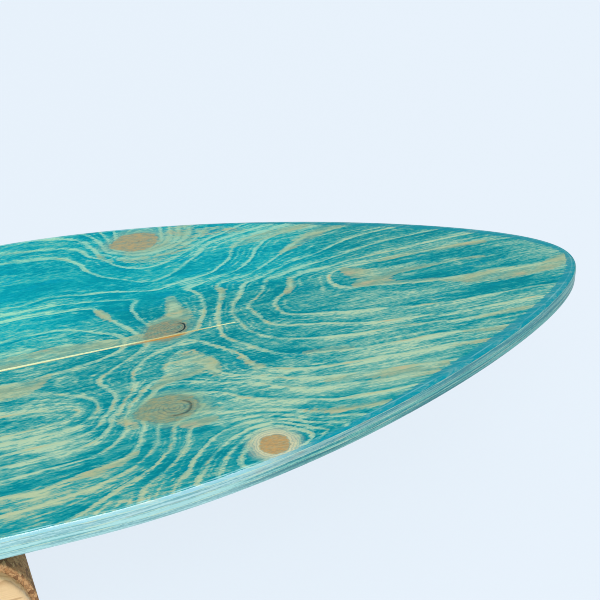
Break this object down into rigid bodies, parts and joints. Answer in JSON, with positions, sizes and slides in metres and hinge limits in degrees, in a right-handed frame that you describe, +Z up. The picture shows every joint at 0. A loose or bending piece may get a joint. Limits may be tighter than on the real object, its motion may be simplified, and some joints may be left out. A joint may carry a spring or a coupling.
{
  "type": "balance board with roller",
  "caption": "Surf-shaped plywood balance board lying level on a cork roller that rolls between two stops on its underside.",
  "frame": {"origin": "on the floor under the middle of the deck's length and width, where the roller stands on the floor at z = 0", "axes": "+X towards the pointed nose, +Y to the left of a rider facing the nose, +Z up; the deck is level"},
  "size_m": [0.9, 0.305, 0.1148],
  "materials": {
    "stained_face": "turquoise-stained softwood veneer with knots and pale latewood lines, satin clear coat",
    "stained_cross_ply": "stained end grain of a cross ply, grey-pink and teal, clear coated",
    "stained_core_ply": "stained edge grain of the core ply, pale teal, clear coated",
    "stained_back": "turquoise-stained softwood veneer, satin clear coat",
    "stop_wood": "clear-coated pale hardwood",
    "bumper_rubber": "matt black rubber",
    "screw_steel": "zinc-plated steel",
    "tube_plastic": "grey plastic pipe",
    "cork": "granulated cork, fine sanded",
    "cap_wood": "turned pale hardwood, clear coated"
  },
  "bodies": {
    "deck": {"face_veneer": "stained_face", "upper_cross_ply": "stained_cross_ply", "core_ply": "stained_core_ply", "lower_cross_ply": "stained_cross_ply", "back_veneer": "stained_back", "stop_nose": "stop_wood", "stop_tail": "stop_wood", "bumper_nose": "bumper_rubber", "bumper_tail": "bumper_rubber", "stop_screw_nose_1": "screw_steel", "stop_screw_nose_2": "screw_steel", "stop_screw_nose_3": "screw_steel", "stop_screw_nose_4": "screw_steel", "stop_screw_tail_1": "screw_steel", "stop_screw_tail_2": "screw_steel", "stop_screw_tail_3": "screw_steel", "stop_screw_tail_4": "screw_steel"},
    "roller_carrier": {"end_cap_left": "cap_wood", "end_cap_right": "cap_wood"},
    "roller": {"roller_tube": "tube_plastic", "roller_sleeve": "cork"}
  },
  "joints": [
    {"name": "roller_travel", "type": "slide", "parent": "deck", "child": "roller_carrier", "axis": [1, 0, 0], "range_m": [-0.2077, 0.2318]},
    {"name": "roller_spin", "type": "hinge", "parent": "roller_carrier", "child": "roller", "pos_m": [-0.01202, 0, 0.05], "axis": [0, 1, 0], "range_deg": [-270, 270]}
  ],
  "couplings": [
    {"joint": "roller_spin", "follows": "roller_travel", "rad_per_m": -20}
  ]
}
